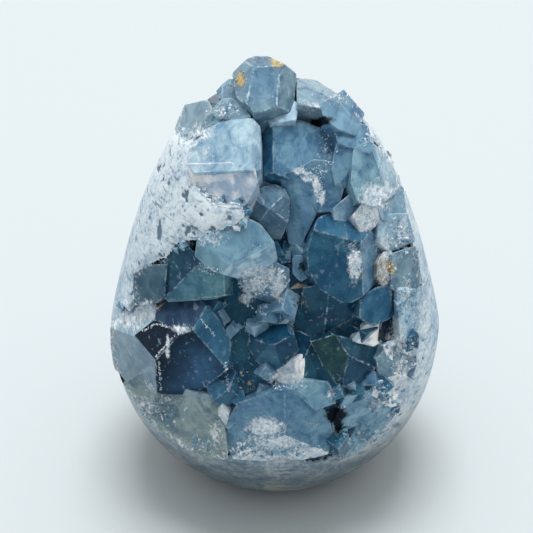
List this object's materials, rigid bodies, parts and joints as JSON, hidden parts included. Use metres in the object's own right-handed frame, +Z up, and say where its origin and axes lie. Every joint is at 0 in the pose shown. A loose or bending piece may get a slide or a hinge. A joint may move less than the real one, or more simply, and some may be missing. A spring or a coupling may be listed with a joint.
{
  "type": "celestite geode egg",
  "caption": "Celestite geode ground to an upright egg, its front hollow lined with blocky blue crystals, standing on a small flat spot.",
  "frame": {"origin": "centre of the flat spot the egg stands on", "axes": "+Z up along the egg's long axis, -Y the way the open crystal face looks, +X to the right as seen from the front"},
  "size_m": [0.075, 0.0713, 0.0999],
  "materials": {
    "ground_matrix": "ground and polished, pale blue-grey and white mottled",
    "celestite": "clear to cloudy grey-blue crystal with frosted and smoky patches"
  },
  "bodies": {
    "root": {"matrix": "ground_matrix", "crystal_crust": "celestite"}
  },
  "joints": []
}
